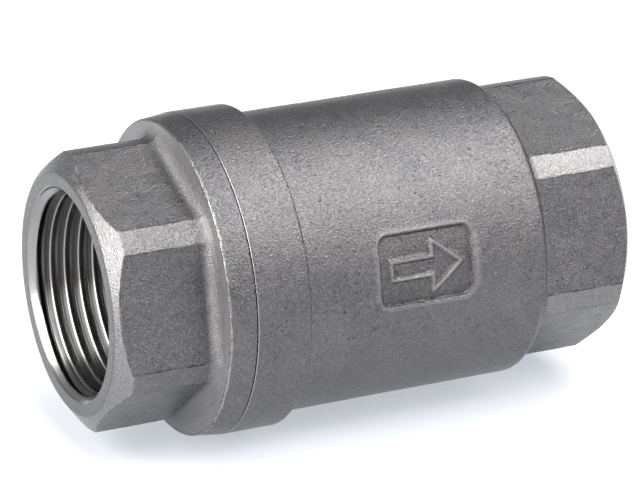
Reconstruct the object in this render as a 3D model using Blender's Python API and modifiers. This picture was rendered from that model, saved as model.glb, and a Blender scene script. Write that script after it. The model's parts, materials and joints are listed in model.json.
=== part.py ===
"""Two-piece in-line spring check valve, 1 inch, with female pipe threads in both ends.

The flow runs along +X.  The origin is on the flow axis at the middle of the valve's length.
Turned pieces are drawn in the flow frame: its +Z is the flow direction, and its z = 0 is the
inlet's end face, so a piece's heights are distances from that face.
A clock angle is measured about the flow axis, from -Y (the front) up towards +Z.
"""

import math

import bmesh
import bpy
from mathutils import Matrix

MM = 0.001

# Whole valve
LENGTH = 85.0 * MM
GAP = 0.3 * MM
OUTSIDE = 1.0 * MM

# Wrench hexagons with turned corners
HEX_FLATS = 38.7 * MM
HEX_CORNER_R = 21.35 * MM
HEX_CHAMFER = 2.1 * MM
FACE_R = 18.4 * MM
INLET_CLOCK = math.radians(9.2)
OUTLET_CLOCK = math.radians(12.4)

# Female pipe threads, as plain bores at the crests
MOUTH_R = 17.0 * MM
THREAD_R = 15.2 * MM
THREAD_END = 16.8 * MM
PORT_R = 12.5 * MM
PORT_TAPER = 1.4 * MM

# End cap: flange, screwed spigot and seat lip
FLANGE_START = 15.6 * MM
FLANGE_EDGE = 0.6 * MM
FLANGE_END = 20.0 * MM
FLANGE_R_START = 24.2 * MM
FLANGE_R_END = 24.6 * MM
JOINT_CHAMFER = 0.3 * MM
SPIGOT_R = 20.1 * MM
SPIGOT_END = 31.0 * MM
SEAT_LIP_R = 13.7 * MM
SEAT = 31.8 * MM

# Body: collar, barrel and inner chamber
COLLAR_START = FLANGE_END + GAP
COLLAR_END = 28.9 * MM
COLLAR_R = 24.7 * MM
COLLAR_EDGE = 0.5 * MM
BARREL_R = 23.0 * MM
BARREL_END = 69.1 * MM
BARREL_EDGE = 1.2 * MM
SOCKET_R = SPIGOT_R + GAP
SOCKET_END = 32.4 * MM
CHAMBER_R = 19.2 * MM
CHAMBER_END = 62.3 * MM
OUTLET_CONE_R = 15.6 * MM
OUTLET_CONE_END = 66.5 * MM
CLIP_GROOVE = (56.2 * MM, 57.8 * MM)
CLIP_GROOVE_R = 20.2 * MM

# Gasket in its recess in the collar's front
GASKET_RECESS_R = 22.6 * MM
GASKET_RECESS_END = 21.9 * MM
GASKET_R = (20.4 * MM, 22.3 * MM)

# Plaque cast into the barrel, with a raised flow arrow
PLAQUE_CLOCK = math.radians(11.0)
PLAQUE_CENTRE = 48.7 * MM
PLAQUE_SIZE = (15.4 * MM, 11.2 * MM)
PLAQUE_CORNER = 1.8 * MM
PLAQUE_DEPTH = 0.55 * MM
ARROW_LENGTH = 11.0 * MM
ARROW_HEAD = 4.6 * MM
ARROW_HEAD_HALF = 3.4 * MM
ARROW_SHAFT_HALF = 1.2 * MM
ARROW_DROP = 0.1 * MM

# Poppet
STEM_R = 3.0 * MM
STEM_START = 23.4 * MM
STEM_END = 67.5 * MM
STOP_R = 5.2 * MM
LIFT = 7.0 * MM
CLIP_SLOT_R = 2.3 * MM
CLIP_SLOT = (64.8 * MM, 66.1 * MM)
FASTENER_BORE_R = STEM_R + GAP
NUT_FLATS = 10.0 * MM
NUT = (24.6 * MM, 28.6 * MM)
NUT_CORNER_R = 5.6 * MM
LOCK_WASHER = (28.9 * MM, 30.0 * MM)
LOCK_WASHER_R = 5.4 * MM
RETAINER = (30.3 * MM, 31.8 * MM)
RETAINER_R = 11.2 * MM
SEAL = (32.1 * MM, 34.1 * MM)
SEAL_R = (4.7 * MM, 14.0 * MM)
DISC = (34.4 * MM, 37.4 * MM)
DISC_R = 15.2 * MM
DISC_RIM_R = 14.3 * MM
DISC_RIM_START = 33.0 * MM
DISC_BOSS_R = 4.4 * MM
STEM_CLIP = (65.1 * MM, 65.8 * MM)
STEM_CLIP_R = (2.6 * MM, 4.8 * MM)
STEM_CLIP_MOUTH = 4.4 * MM

# Spring and its washer
WASHER = (37.7 * MM, 38.7 * MM)
WASHER_R = (5.8 * MM, 9.4 * MM)
SPRING_WIRE_R = 0.6 * MM
SPRING_R = 7.6 * MM
SPRING_TURNS = 6
SPRING_END_PITCH = 1.45 * MM

# Stem guide
GUIDE = (58.0 * MM, 62.0 * MM)
GUIDE_R = (15.9 * MM, 18.9 * MM)
GUIDE_ARMS = 4
GUIDE_ARM_WIDTH = 3.0 * MM
GUIDE_ARM_INSET = 0.4 * MM
HUB_R = 6.2 * MM
HUB_END = 64.5 * MM
HUB_SEAT = (55.5 * MM, 59.5 * MM)
HUB_SEAT_R = 9.0 * MM
HUB_BOSS_R = 5.6 * MM
HUB_BOSS_START = 53.5 * MM
BUSH = (53.9 * MM, 64.1 * MM)
BUSH_R = (3.15 * MM, 4.4 * MM)
HUB_BORE_R = BUSH_R[1] + GAP
RING = (56.5 * MM, 57.5 * MM)
RING_R = (17.7 * MM, 19.9 * MM)
RING_MOUTH = 8.0 * MM
RING_LUG_R = 1.7 * MM
RING_LUG_HOLE_R = 0.8 * MM

# Facets round a turned piece
OUTER_STEPS = 48
INNER_STEPS = 32
STEM_STEPS = 24

# Finishes: colour, metallic, roughness
FINISHES = {
    "cast_stainless": ((0.36, 0.355, 0.36), 1.0, 0.42),
    "turned_stainless": ((0.58, 0.58, 0.59), 1.0, 0.25),
    "spring_steel": ((0.50, 0.50, 0.52), 1.0, 0.22),
    "ptfe": ((0.86, 0.86, 0.84), 0.0, 0.45),
}


def clear_scene():
    for old in list(bpy.data.objects):
        bpy.data.objects.remove(old, do_unlink=True)


def new_collection(name):
    collection = bpy.data.collections.new(name)
    bpy.context.scene.collection.children.link(collection)
    return collection


def make_material(name, colour, metallic, roughness):
    material = bpy.data.materials.new(name)
    material.use_nodes = True
    shader = material.node_tree.nodes["Principled BSDF"]
    shader.inputs["Base Color"].default_value = (*colour, 1.0)
    shader.inputs["Metallic"].default_value = metallic
    shader.inputs["Roughness"].default_value = roughness
    return material


clear_scene()
PARTS = new_collection("check_valve")
CUTTERS = new_collection("cutters")

FLOW_AXIS = bpy.data.objects.new("flow_axis", None)
FLOW_AXIS.location.x = -LENGTH / 2
FLOW_AXIS.rotation_euler.y = math.pi / 2
PARTS.objects.link(FLOW_AXIS)


def place(obj, finish=None):
    """Puts a piece in the flow frame: a part when it has a finish, and otherwise a cutter."""
    obj.parent = FLOW_AXIS
    if finish:
        PARTS.objects.link(obj)
        colour, metallic, roughness = FINISHES[finish]
        obj.data.materials.append(make_material(obj.name, colour, metallic, roughness))
    else:
        CUTTERS.objects.link(obj)
        obj.hide_render = True
        obj.display_type = "WIRE"
    return obj


def turned(name, profile, steps, finish=None, ring=False):
    """A turned piece from (radius, height) points that run down its outer side.

    A ring's points go on up its inner side, and its profile closes on itself.
    """
    edges = [(i, i + 1) for i in range(len(profile) - 1)]
    if ring:
        edges.append((len(profile) - 1, 0))
    mesh = bpy.data.meshes.new(name)
    mesh.from_pydata([(radius, 0.0, height) for radius, height in profile], edges, [])
    obj = place(bpy.data.objects.new(name, mesh), finish)
    screw = obj.modifiers.new("turn", "SCREW")
    screw.steps = steps
    screw.render_steps = steps
    screw.use_merge_vertices = True
    screw.merge_threshold = 0.00001
    screw.use_smooth_shade = False
    return obj


def ring_profile(radii, heights):
    """The closed profile of a plain ring: (inner, outer) radius and (low, high) height."""
    inner, outer = radii
    low, high = heights
    return [(outer, high), (outer, low), (inner, low), (inner, high)]


def edge_arc(centre_radius, centre_height, radius, start, end, steps=4):
    """Points of a rounded edge in a profile, between two angles in degrees."""
    points = []
    for i in range(steps + 1):
        angle = math.radians(start + (end - start) * i / steps)
        points.append(
            (centre_radius + radius * math.cos(angle), centre_height + radius * math.sin(angle))
        )
    return points


def prism(name, sides, flats, low, high, turn=0.0):
    """A regular prism along the flow, given the distance across its flats."""
    mesh = bpy.data.meshes.new(name)
    form = bmesh.new()
    corner = flats / 2 / math.cos(math.pi / sides)
    bmesh.ops.create_cone(
        form, cap_ends=True, segments=sides, radius1=corner, radius2=corner, depth=high - low
    )
    form.to_mesh(mesh)
    form.free()
    obj = bpy.data.objects.new(name, mesh)
    obj.location.z = (low + high) / 2
    obj.rotation_euler.z = turn
    return obj


def box(name, size, centre, turn=0.0):
    mesh = bpy.data.meshes.new(name)
    form = bmesh.new()
    bmesh.ops.create_cube(form, size=1.0, matrix=Matrix.Diagonal((*size, 1.0)))
    form.to_mesh(mesh)
    form.free()
    obj = bpy.data.objects.new(name, mesh)
    obj.location = centre
    obj.rotation_euler.z = turn
    return place(obj)


def combine(obj, operation, other):
    boolean = obj.modifiers.new(f"{operation.lower()} {other.name}", "BOOLEAN")
    boolean.operation = operation
    boolean.object = other
    boolean.solver = "EXACT"
    return obj


def plate(name, outline, thickness):
    """A flat plate mesh from a closed outline, centred on its own XY plane."""
    curve = bpy.data.curves.new(name, "CURVE")
    curve.dimensions = "2D"
    curve.fill_mode = "BOTH"
    curve.extrude = thickness / 2
    spline = curve.splines.new("POLY")
    spline.points.add(len(outline) - 1)
    for point, (x, y) in zip(spline.points, outline):
        point.co = (x, y, 0.0, 1.0)
    spline.use_cyclic_u = True
    drawn = bpy.data.objects.new(name + "_outline", curve)
    CUTTERS.objects.link(drawn)
    evaluated = drawn.evaluated_get(bpy.context.evaluated_depsgraph_get())
    mesh = bpy.data.meshes.new_from_object(evaluated)
    bpy.data.objects.remove(drawn, do_unlink=True)
    form = bmesh.new()
    form.from_mesh(mesh)
    bmesh.ops.remove_doubles(form, verts=form.verts, dist=0.000001)
    form.to_mesh(mesh)
    form.free()
    return bpy.data.objects.new(name, mesh)


def place_on_barrel(obj, height, clock, radius):
    """Lays a plate on the barrel: its X along the flow, its Z outwards at the clock angle."""
    along = (1.0, 0.0, 0.0)
    upward = (0.0, math.sin(clock), math.cos(clock))
    outward = (0.0, -math.cos(clock), math.sin(clock))
    columns = Matrix((along, upward, outward)).transposed()
    centre = (
        height - LENGTH / 2,
        outward[1] * radius,
        outward[2] * radius,
    )
    obj.matrix_world = Matrix.Translation(centre) @ columns.to_4x4()
    CUTTERS.objects.link(obj)
    obj.hide_render = True
    obj.display_type = "WIRE"
    return obj


def hexagon_turn(clock):
    """The turn about the flow axis that faces one flat of a hexagon at the clock angle."""
    return -math.radians(30.0) - clock


def wrench_hexagon(name, clock, low, high, profile):
    """A hexagon prism inside a turned envelope, which rounds its corners and chamfers its end."""
    hexagon = place(prism(name, 6, HEX_FLATS, low, high, hexagon_turn(clock)))
    return combine(hexagon, "INTERSECT", turned(name + "_envelope", profile, OUTER_STEPS))


def make_end_cap():
    profile = [
        (0.0, SEAT),
        (SEAT_LIP_R, SEAT),
        (SEAT_LIP_R, SPIGOT_END),
        (SPIGOT_R - JOINT_CHAMFER, SPIGOT_END),
        (SPIGOT_R, SPIGOT_END - JOINT_CHAMFER),
        (SPIGOT_R, FLANGE_END),
        (FLANGE_R_END - JOINT_CHAMFER, FLANGE_END),
        (FLANGE_R_END, FLANGE_END - JOINT_CHAMFER),
        *edge_arc(FLANGE_R_START - FLANGE_EDGE, FLANGE_START + FLANGE_EDGE, FLANGE_EDGE, 0, -90),
        (0.0, FLANGE_START),
    ]
    cap = turned("end_cap", profile, OUTER_STEPS, "cast_stainless")
    envelope = [
        (0.0, FLANGE_END - OUTSIDE),
        (HEX_CORNER_R, FLANGE_END - OUTSIDE),
        (HEX_CORNER_R, HEX_CHAMFER),
        (FACE_R, 0.0),
        (0.0, 0.0),
    ]
    hexagon = wrench_hexagon(
        "inlet_hexagon", INLET_CLOCK, -OUTSIDE, FLANGE_END - 2 * OUTSIDE, envelope
    )
    waterway = [
        (0.0, SEAT + OUTSIDE),
        (PORT_R, SEAT + OUTSIDE),
        (PORT_R, THREAD_END + PORT_TAPER),
        (THREAD_R, THREAD_END),
        (THREAD_R, MOUTH_R - THREAD_R),
        (MOUTH_R + OUTSIDE, -OUTSIDE),
        (0.0, -OUTSIDE),
    ]
    combine(cap, "UNION", hexagon)
    combine(cap, "DIFFERENCE", turned("inlet_waterway", waterway, OUTER_STEPS))


def make_body():
    profile = [
        (0.0, BARREL_END),
        *edge_arc(BARREL_R - BARREL_EDGE, BARREL_END - BARREL_EDGE, BARREL_EDGE, 90, 0),
        (BARREL_R, COLLAR_END),
        *edge_arc(COLLAR_R - COLLAR_EDGE, COLLAR_END - COLLAR_EDGE, COLLAR_EDGE, 90, 0),
        (COLLAR_R, COLLAR_START + JOINT_CHAMFER),
        (COLLAR_R - JOINT_CHAMFER, COLLAR_START),
        (0.0, COLLAR_START),
    ]
    body = turned("body", profile, OUTER_STEPS, "cast_stainless")
    envelope = [
        (0.0, LENGTH),
        (FACE_R, LENGTH),
        (HEX_CORNER_R, LENGTH - HEX_CHAMFER),
        (HEX_CORNER_R, BARREL_END - 2 * OUTSIDE),
        (0.0, BARREL_END - 2 * OUTSIDE),
    ]
    hexagon = wrench_hexagon(
        "outlet_hexagon", OUTLET_CLOCK, BARREL_END - OUTSIDE, LENGTH + OUTSIDE, envelope
    )
    waterway = [
        (0.0, LENGTH + OUTSIDE),
        (MOUTH_R + OUTSIDE, LENGTH + OUTSIDE),
        (THREAD_R, LENGTH - MOUTH_R + THREAD_R),
        (THREAD_R, LENGTH - THREAD_END),
        (PORT_R, LENGTH - THREAD_END - PORT_TAPER),
        (PORT_R, OUTLET_CONE_END),
        (OUTLET_CONE_R, CHAMBER_END),
        (CHAMBER_R, CHAMBER_END),
        (CHAMBER_R, CLIP_GROOVE[1]),
        (CLIP_GROOVE_R, CLIP_GROOVE[1]),
        (CLIP_GROOVE_R, CLIP_GROOVE[0]),
        (CHAMBER_R, CLIP_GROOVE[0]),
        (CHAMBER_R, SOCKET_END),
        (SOCKET_R, SOCKET_END),
        (SOCKET_R, GASKET_RECESS_END),
        (GASKET_RECESS_R, GASKET_RECESS_END),
        (GASKET_RECESS_R, COLLAR_START - OUTSIDE),
        (0.0, COLLAR_START - OUTSIDE),
    ]
    combine(body, "UNION", hexagon)
    combine(body, "DIFFERENCE", turned("body_waterway", waterway, OUTER_STEPS))
    combine(body, "DIFFERENCE", make_plaque_recess())
    combine(body, "UNION", make_flow_arrow())


def rounded_rectangle(size, corner):
    """The outline of a rectangle with rounded corners."""
    half_x = size[0] / 2 - corner
    half_y = size[1] / 2 - corner
    outline = []
    for start, centre in (
        (0, (half_x, half_y)),
        (90, (-half_x, half_y)),
        (180, (-half_x, -half_y)),
        (270, (half_x, -half_y)),
    ):
        outline.extend(edge_arc(*centre, corner, start, start + 90))
    return outline


def make_plaque_recess():
    """A recess of even depth that follows the barrel."""
    outline = rounded_rectangle(PLAQUE_SIZE, PLAQUE_CORNER)
    recess = place_on_barrel(
        plate("plaque_recess", outline, BARREL_R), PLAQUE_CENTRE, PLAQUE_CLOCK, BARREL_R
    )
    shell = turned(
        "plaque_floor",
        ring_profile(
            (BARREL_R - PLAQUE_DEPTH, BARREL_R + OUTSIDE),
            (PLAQUE_CENTRE - PLAQUE_SIZE[0], PLAQUE_CENTRE + PLAQUE_SIZE[0]),
        ),
        OUTER_STEPS,
        ring=True,
    )
    return combine(recess, "INTERSECT", shell)


def make_flow_arrow():
    """A raised arrow on the plaque that points the way of the flow."""
    tip = ARROW_LENGTH / 2
    neck = tip - ARROW_HEAD
    outline = [
        (tip, 0.0),
        (neck, ARROW_HEAD_HALF),
        (neck, ARROW_SHAFT_HALF),
        (-tip, ARROW_SHAFT_HALF),
        (-tip, -ARROW_SHAFT_HALF),
        (neck, -ARROW_SHAFT_HALF),
        (neck, -ARROW_HEAD_HALF),
    ]
    arrow = place_on_barrel(
        plate("flow_arrow", outline, BARREL_R), PLAQUE_CENTRE, PLAQUE_CLOCK, BARREL_R
    )
    shell = turned(
        "arrow_height",
        ring_profile(
            (BARREL_R - 2 * PLAQUE_DEPTH, BARREL_R - ARROW_DROP),
            (PLAQUE_CENTRE - PLAQUE_SIZE[0], PLAQUE_CENTRE + PLAQUE_SIZE[0]),
        ),
        OUTER_STEPS,
        ring=True,
    )
    return combine(arrow, "INTERSECT", shell)


def make_joint_gasket():
    heights = (FLANGE_END + GAP, GASKET_RECESS_END - GAP)
    turned("joint_gasket", ring_profile(GASKET_R, heights), OUTER_STEPS, "ptfe", ring=True)


def make_poppet():
    """The disc, its clamped seal and the stem that carries them."""
    disc = [
        (DISC_R, DISC[1]),
        (DISC_R, DISC_RIM_START),
        (DISC_RIM_R, DISC_RIM_START),
        (DISC_RIM_R, DISC[0]),
        (DISC_BOSS_R, DISC[0]),
        (DISC_BOSS_R, SEAL[0]),
        (FASTENER_BORE_R, SEAL[0]),
        (FASTENER_BORE_R, DISC[1]),
    ]
    turned("poppet_disc", disc, OUTER_STEPS, "turned_stainless", ring=True)
    turned("seat_seal", ring_profile(SEAL_R, SEAL), OUTER_STEPS, "ptfe", ring=True)
    retainer = ring_profile((FASTENER_BORE_R, RETAINER_R), RETAINER)
    turned("seal_retainer", retainer, INNER_STEPS, "turned_stainless", ring=True)

    stop_end = HUB_BOSS_START - GAP - LIFT
    stem = [
        (0.0, STEM_END),
        (STEM_R - JOINT_CHAMFER, STEM_END),
        (STEM_R, STEM_END - JOINT_CHAMFER),
        (STEM_R, CLIP_SLOT[1]),
        (CLIP_SLOT_R, CLIP_SLOT[1]),
        (CLIP_SLOT_R, CLIP_SLOT[0]),
        (STEM_R, CLIP_SLOT[0]),
        (STEM_R, stop_end),
        (STOP_R, stop_end),
        (STOP_R, WASHER[0]),
        (STEM_R, WASHER[0]),
        (STEM_R, STEM_START + JOINT_CHAMFER),
        (STEM_R - JOINT_CHAMFER, STEM_START),
        (0.0, STEM_START),
    ]
    turned("poppet_stem", stem, STEM_STEPS, "turned_stainless")


def make_stem_fasteners():
    """The lock washer, the nut and the clip on the stem."""
    washer = turned(
        "lock_washer",
        ring_profile((FASTENER_BORE_R, LOCK_WASHER_R), LOCK_WASHER),
        INNER_STEPS,
        "spring_steel",
        ring=True,
    )
    middle = (LOCK_WASHER[0] + LOCK_WASHER[1]) / 2
    slit = box("lock_washer_slit", (LOCK_WASHER_R, GAP, 3 * MM), (LOCK_WASHER_R, 0.0, middle))
    combine(washer, "DIFFERENCE", slit)

    nut = place(prism("retainer_nut", 6, NUT_FLATS, *NUT), "turned_stainless")
    bevel = NUT_CORNER_R - NUT_FLATS / 2
    envelope = [
        (0.0, NUT[1] + OUTSIDE),
        (NUT_CORNER_R - bevel - OUTSIDE, NUT[1] + OUTSIDE),
        (NUT_CORNER_R, NUT[1] - bevel),
        (NUT_CORNER_R, NUT[0] + bevel),
        (NUT_CORNER_R - bevel - OUTSIDE, NUT[0] - OUTSIDE),
        (0.0, NUT[0] - OUTSIDE),
    ]
    bore_profile = [
        (0.0, NUT[1] + OUTSIDE),
        (FASTENER_BORE_R, NUT[1] + OUTSIDE),
        (FASTENER_BORE_R, NUT[0] - OUTSIDE),
        (0.0, NUT[0] - OUTSIDE),
    ]
    combine(nut, "INTERSECT", turned("nut_envelope", envelope, INNER_STEPS))
    combine(nut, "DIFFERENCE", turned("nut_bore", bore_profile, STEM_STEPS))

    clip = turned(
        "stem_clip", ring_profile(STEM_CLIP_R, STEM_CLIP), STEM_STEPS, "spring_steel", ring=True
    )
    middle = (STEM_CLIP[0] + STEM_CLIP[1]) / 2
    reach = STEM_CLIP_R[1] + OUTSIDE
    mouth = box("stem_clip_mouth", (reach, STEM_CLIP_MOUTH, 2 * MM), (reach / 2, 0.0, middle))
    combine(clip, "DIFFERENCE", mouth)


def spring_height(turn, low, high):
    """The height of the spring's wire: closed end turns, and even open turns between."""
    open_turns = SPRING_TURNS - 2
    open_pitch = (high - low - 2 * SPRING_END_PITCH) / open_turns
    if turn < 1:
        return low + SPRING_END_PITCH * turn
    if turn > SPRING_TURNS - 1:
        return high - SPRING_END_PITCH * (SPRING_TURNS - turn)
    return low + SPRING_END_PITCH + open_pitch * (turn - 1)


def make_spring():
    washer = ring_profile(WASHER_R, WASHER)
    turned("spring_washer", washer, INNER_STEPS, "turned_stainless", ring=True)

    low = WASHER[1] + GAP + SPRING_WIRE_R
    high = HUB_SEAT[0] - GAP - SPRING_WIRE_R
    points_per_turn = 14
    count = SPRING_TURNS * points_per_turn + 1
    curve = bpy.data.curves.new("spring", "CURVE")
    curve.dimensions = "3D"
    curve.bevel_depth = SPRING_WIRE_R
    curve.bevel_resolution = 2
    curve.use_fill_caps = True
    spline = curve.splines.new("POLY")
    spline.points.add(count - 1)
    for i, point in enumerate(spline.points):
        turn = i / points_per_turn
        angle = 2 * math.pi * turn
        height = spring_height(turn, low, high)
        point.co = (SPRING_R * math.cos(angle), SPRING_R * math.sin(angle), height, 1.0)
    place(bpy.data.objects.new("spring", curve), "spring_steel")


def make_stem_guide():
    rim = turned(
        "stem_guide", ring_profile(GUIDE_R, GUIDE), OUTER_STEPS, "turned_stainless", ring=True
    )
    hub_profile = [
        (0.0, HUB_END),
        (HUB_R, HUB_END),
        (HUB_R, HUB_SEAT[1]),
        (HUB_SEAT_R, HUB_SEAT[1]),
        (HUB_SEAT_R, HUB_SEAT[0]),
        (HUB_BOSS_R, HUB_SEAT[0]),
        (HUB_BOSS_R, HUB_BOSS_START),
        (0.0, HUB_BOSS_START),
    ]
    hub = turned("guide_hub", hub_profile, INNER_STEPS)
    arm_height = GUIDE[1] - GUIDE[0] - 2 * GUIDE_ARM_INSET
    reach = (GUIDE_R[0] + GUIDE_R[1]) / 2
    for i in range(GUIDE_ARMS // 2):
        turn = math.pi / GUIDE_ARMS + i * 2 * math.pi / GUIDE_ARMS
        size = (2 * reach, GUIDE_ARM_WIDTH, arm_height)
        arm = box(f"guide_arm_pair_{i + 1}", size, (0.0, 0.0, sum(GUIDE) / 2), turn)
        combine(hub, "UNION", arm)
    combine(rim, "UNION", hub)
    bore = [
        (0.0, HUB_END + OUTSIDE),
        (HUB_BORE_R, HUB_END + OUTSIDE),
        (HUB_BORE_R, HUB_BOSS_START - OUTSIDE),
        (0.0, HUB_BOSS_START - OUTSIDE),
    ]
    combine(rim, "DIFFERENCE", turned("hub_bore", bore, INNER_STEPS))

    turned("guide_bush", ring_profile(BUSH_R, BUSH), STEM_STEPS, "ptfe", ring=True)


def make_guide_retaining_ring():
    """An internal circlip: an open ring with a pierced lug at each end."""
    ring = turned(
        "guide_retaining_ring", ring_profile(RING_R, RING), OUTER_STEPS, "spring_steel", ring=True
    )
    middle = sum(RING) / 2
    reach = 2 * (RING_R[1] - RING_R[0])
    mouth = box("ring_mouth", (reach, RING_MOUTH, 2 * MM), (RING_R[0] + reach / 4, 0.0, middle))
    combine(ring, "DIFFERENCE", mouth)
    for side in (-1, 1):
        for suffix, radius, height, operation in (
            ("lug", RING_LUG_R, RING[1] - RING[0], "UNION"),
            ("hole", RING_LUG_HOLE_R, 2 * MM, "DIFFERENCE"),
        ):
            low = middle - height / 2
            name = f"ring_{suffix}_{'front' if side < 0 else 'back'}"
            stud = prism(name, 20, 2 * radius, low, low + height)
            stud.location.x = RING_R[0]
            stud.location.y = side * (RING_MOUTH / 2 + RING_LUG_R / 2)
            combine(ring, operation, place(stud))


make_end_cap()
make_body()
make_joint_gasket()
make_poppet()
make_stem_fasteners()
make_spring()
make_stem_guide()
make_guide_retaining_ring()
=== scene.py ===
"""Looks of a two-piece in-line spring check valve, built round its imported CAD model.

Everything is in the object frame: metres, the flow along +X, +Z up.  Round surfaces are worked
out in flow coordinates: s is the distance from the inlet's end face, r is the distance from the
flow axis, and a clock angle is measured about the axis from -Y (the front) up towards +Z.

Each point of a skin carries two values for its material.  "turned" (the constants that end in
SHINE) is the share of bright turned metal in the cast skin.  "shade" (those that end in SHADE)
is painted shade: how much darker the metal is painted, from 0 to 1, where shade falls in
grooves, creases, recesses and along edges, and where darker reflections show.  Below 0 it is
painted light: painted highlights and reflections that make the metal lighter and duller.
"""

import json
import math

import bmesh
import bpy
import numpy as np
from mathutils import Matrix, Vector, noise


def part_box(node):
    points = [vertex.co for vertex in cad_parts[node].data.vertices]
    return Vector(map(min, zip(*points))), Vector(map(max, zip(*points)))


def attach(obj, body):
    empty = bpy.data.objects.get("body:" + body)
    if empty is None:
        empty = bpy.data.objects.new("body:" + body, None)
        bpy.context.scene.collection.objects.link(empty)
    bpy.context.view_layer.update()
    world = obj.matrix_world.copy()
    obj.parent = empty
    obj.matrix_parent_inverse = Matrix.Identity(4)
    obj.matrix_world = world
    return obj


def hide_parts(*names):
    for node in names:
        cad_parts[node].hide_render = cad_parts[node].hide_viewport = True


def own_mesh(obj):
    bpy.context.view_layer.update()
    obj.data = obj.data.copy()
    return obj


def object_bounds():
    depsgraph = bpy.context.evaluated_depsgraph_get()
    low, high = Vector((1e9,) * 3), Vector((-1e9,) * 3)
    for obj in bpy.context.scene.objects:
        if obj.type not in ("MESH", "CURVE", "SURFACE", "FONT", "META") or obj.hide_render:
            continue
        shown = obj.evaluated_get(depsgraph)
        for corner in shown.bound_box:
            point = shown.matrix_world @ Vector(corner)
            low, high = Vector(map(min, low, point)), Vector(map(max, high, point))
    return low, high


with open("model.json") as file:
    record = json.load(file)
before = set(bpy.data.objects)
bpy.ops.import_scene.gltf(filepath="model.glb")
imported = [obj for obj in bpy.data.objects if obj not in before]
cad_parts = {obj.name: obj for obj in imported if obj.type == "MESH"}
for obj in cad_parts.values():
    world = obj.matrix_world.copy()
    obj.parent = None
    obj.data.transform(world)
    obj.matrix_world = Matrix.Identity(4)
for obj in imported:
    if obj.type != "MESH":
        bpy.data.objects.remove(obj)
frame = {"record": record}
CAD_LOW, CAD_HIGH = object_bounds()
RECORD = frame["record"]
MM = 0.001


# ---------------------------------------------------------------------------------- sizes

def mount(name):
    return next(m for m in RECORD["mounts"] if m["name"] == name)


def mount_clock(name):
    """The clock angle that a mount faces."""
    _, y, z = mount(name)["axis"]
    return math.atan2(z, -y)


def span(node):
    """(first, last) distance of a CAD node from the inlet's end face."""
    low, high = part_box(node)
    return low.x - CAD_LOW.x, high.x - CAD_LOW.x


def outer_radius(node):
    """The radius of the largest round of a CAD node, from its box."""
    low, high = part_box(node)
    return max(high.z, -low.z, high.y, -low.y)


LENGTH = CAD_HIGH.x - CAD_LOW.x

# Random reliefs: (height, feature size) of each layer, and what each seed is multiplied by.
# A relief uses its seed and the next few numbers.
CAST_RELIEF = ((0.035 * MM, 6.0 * MM), (0.012 * MM, 1.1 * MM))
HEX_RELIEF = ((0.07 * MM, 3.2 * MM), (0.025 * MM, 0.9 * MM))
PLAQUE_RELIEF = ((0.06 * MM, 1.1 * MM),)
RAGGED_SIZE = 1.3 * MM
SEED_STEPS = (7.31, 3.17, 5.71)
FLANGE_FACE_SEED = 21
FLANGE_EDGE_SEED = 31
FLANGE_SEED = 41
COLLAR_SEED = 51
BARREL_SEED = 61
PLAQUE_SEED = 71

# Clock steps of the skins, and finer (half width, step) ranges at corners and round the plaque
CAP_STEP = math.radians(0.9)
CAP_CORNERS = (math.radians(1.6), math.radians(0.3))
BODY_STEP = math.radians(1.3)
BODY_CORNERS = (math.radians(1.4), math.radians(0.45))
PLAQUE_RANGE = (math.radians(15.5), math.radians(0.55))
PLAQUE_SIDES = (math.radians(0.9), math.radians(0.2))
RING_CLOCKS = 128
SMALL_CLOCKS = 96
NUT_CLOCKS = 192
STEM_THREAD_ROWS = 8

# How far the middle of the cast relief lies below the CAD's round, so that all of it stays inside
FLANGE_SKIN = 0.07 * MM
COLLAR_SKIN = 0.08 * MM
BARREL_SKIN = 0.06 * MM

# Wrench hexagons: the corners are turned to a round, the end is chamfered.
# Each has the clock angle of its front flat, its relief's seed and its corner strips' shine.
# The outlet's strips get more shine than the inlet's: partly a painted highlight on the same turned
# finish.
INLET_HEX = (mount_clock("inlet_wrench_flat_front"), 11, 0.05)
OUTLET_HEX = (mount_clock("outlet_wrench_flat_front"), 15, 0.2)
SIXTH = math.pi / 3
HEX_HALF = Vector(mount("inlet_wrench_flat_front")["pos_m"][1:]).length
HEX_CORNER_R = HEX_HALF + 2.0 * MM
HEX_CORNER_EDGE = math.radians(25)
HEX_CHAMFER = 2.1 * MM
FACE_R = 18.4 * MM
FACE_EDGE = 0.12 * MM
CHAMFER_SLOPE = (HEX_CORNER_R - FACE_R) / HEX_CHAMFER
# Painted shade: ragged dark lines where the cast flats meet the turned corners and the chamfer.
EDGE_WIDTH = 0.07 * MM
EDGE_SHADE = 0.8
CORNER_LINE = 0.7
FACE_LINE = 0.5
CHAMFER_SHINE = 0.34
FACE_SHINE = 0.3
# painted shade: the turned end faces are painted darker
FACE_SHADE = 0.35

# Female pipe threads: 11 to the inch
MOUTH_R = 16.4 * MM
MOUTH_EDGE = 0.05 * MM
THREAD_CREST_R = 15.2 * MM
THREAD_DEPTH = 0.95 * MM
THREAD_PITCH = 25.4 * MM / 11
THREAD_CREST_SHARE = 0.06
THREAD_FLANK_SHARE = 0.8
THREAD_START = 0.2 * MM
THREAD_END = 16.8 * MM
THREAD_GAP = 0.05 * MM
PORT_R = 12.5 * MM
PORT_TAPER = 1.4 * MM
INLET_THREAD_ROWS = 10
OUTLET_THREAD_ROWS = 8
# Painted shade and light in the threads: the flanks that face out of the bore are painted dark, the
# inner flanks lighter, and the crests stay thin bright lines, a painted highlight.
CREST_SHADE = 0.1
FLANK_SHADE = 0.90
INNER_SHADE = -0.5
# where a groove's two flanks meet, in shares of the pitch, and how fast the crest's painted shade
# gives way to the flanks'
ROOT_STEP = (0.46, 0.54)
CREST_FADE = 0.15

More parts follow.
